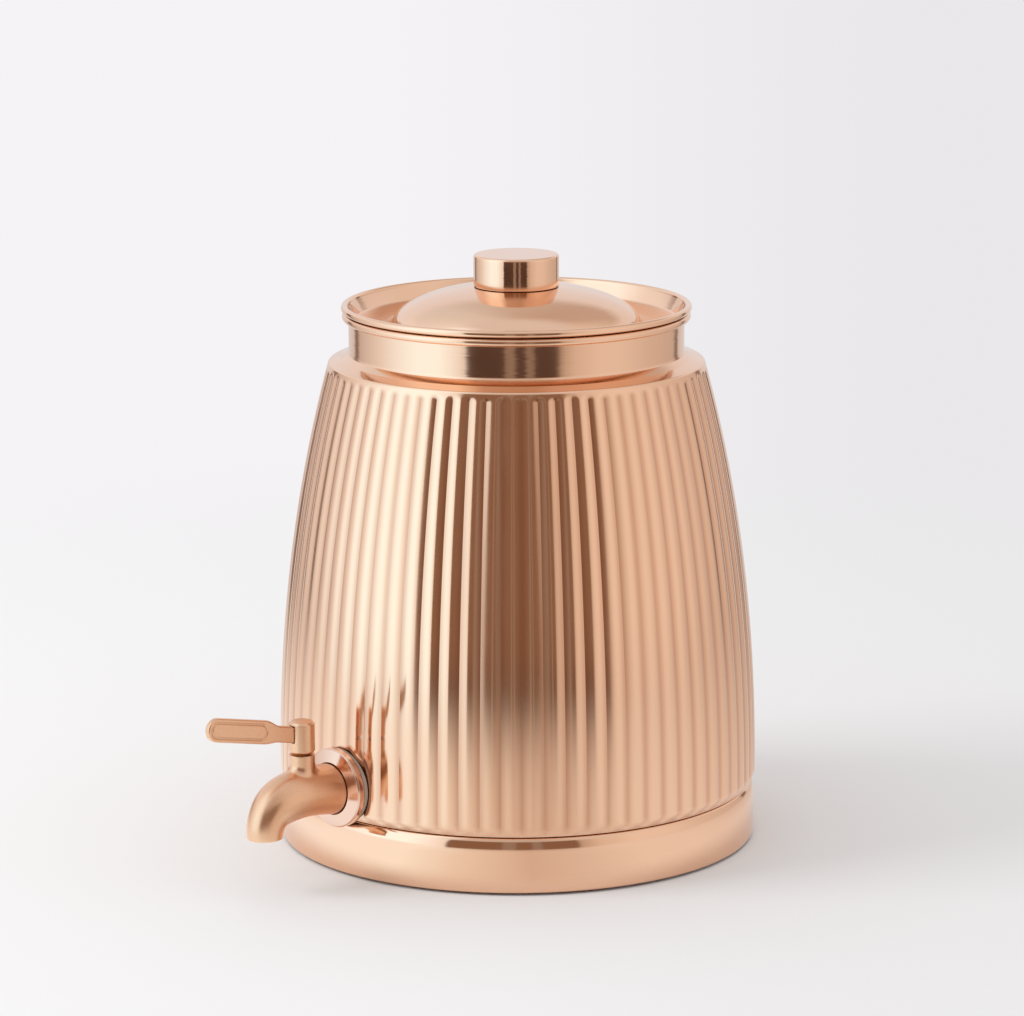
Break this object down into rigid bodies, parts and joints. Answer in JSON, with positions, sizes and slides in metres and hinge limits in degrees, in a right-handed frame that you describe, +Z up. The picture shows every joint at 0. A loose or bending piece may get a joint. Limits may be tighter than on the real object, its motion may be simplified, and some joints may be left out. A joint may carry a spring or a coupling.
{
  "type": "water dispenser",
  "caption": "Ribbed copper water dispenser with a base band, a lift-off domed lid with a round knob, and a quarter-turn tap at the front.",
  "frame": {"origin": "centre of the base's underside, on the surface that the dispenser stands on", "axes": "+Z up, the tap points along -Y, +X to the right seen from the front"},
  "size_m": [0.241, 0.3243, 0.2958],
  "materials": {
    "polished_copper": "polished, mirror-like copper with faint spun lines",
    "satin_copper": "satin copper plating",
    "brass": "plain turned brass",
    "steel": "plain stainless steel",
    "silicone": "grey-brown silicone",
    "seat_plastic": "white fluoroplastic"
  },
  "bodies": {
    "vessel": {"vessel_body": "polished_copper", "neck_bead_wire": "brass", "base_pan": "polished_copper", "tap_flange": "polished_copper", "tap_outer_gasket": "silicone", "tap_inner_gasket": "silicone", "tap_back_washer": "steel", "tap_lock_nut": "brass", "tap_body": "satin_copper", "valve_seat_front": "seat_plastic", "valve_seat_back": "seat_plastic", "seat_retainer": "brass", "stem_thrust_washer": "seat_plastic", "stop_pin": "steel"},
    "lid": {"lid_pan": "polished_copper", "lid_knob": "polished_copper", "knob_insert": "brass", "knob_washer": "steel", "knob_screw": "steel"},
    "handle": {"handle_hub": "satin_copper", "handle_lever": "satin_copper", "handle_grub_screw": "steel", "valve_stem": "brass", "valve_ball": "steel", "stem_o_ring_lower": "silicone", "stem_o_ring_upper": "silicone"}
  },
  "joints": [
    {"name": "lid_lift", "type": "slide", "parent": "vessel", "child": "lid", "axis": [0, 0, 1], "range_m": [0, 0.12]},
    {"name": "handle_turn", "type": "hinge", "parent": "vessel", "child": "handle", "pos_m": [0, -0.1446, 0.045], "axis": [0, 0, 1], "range_deg": [-90, 0]}
  ]
}
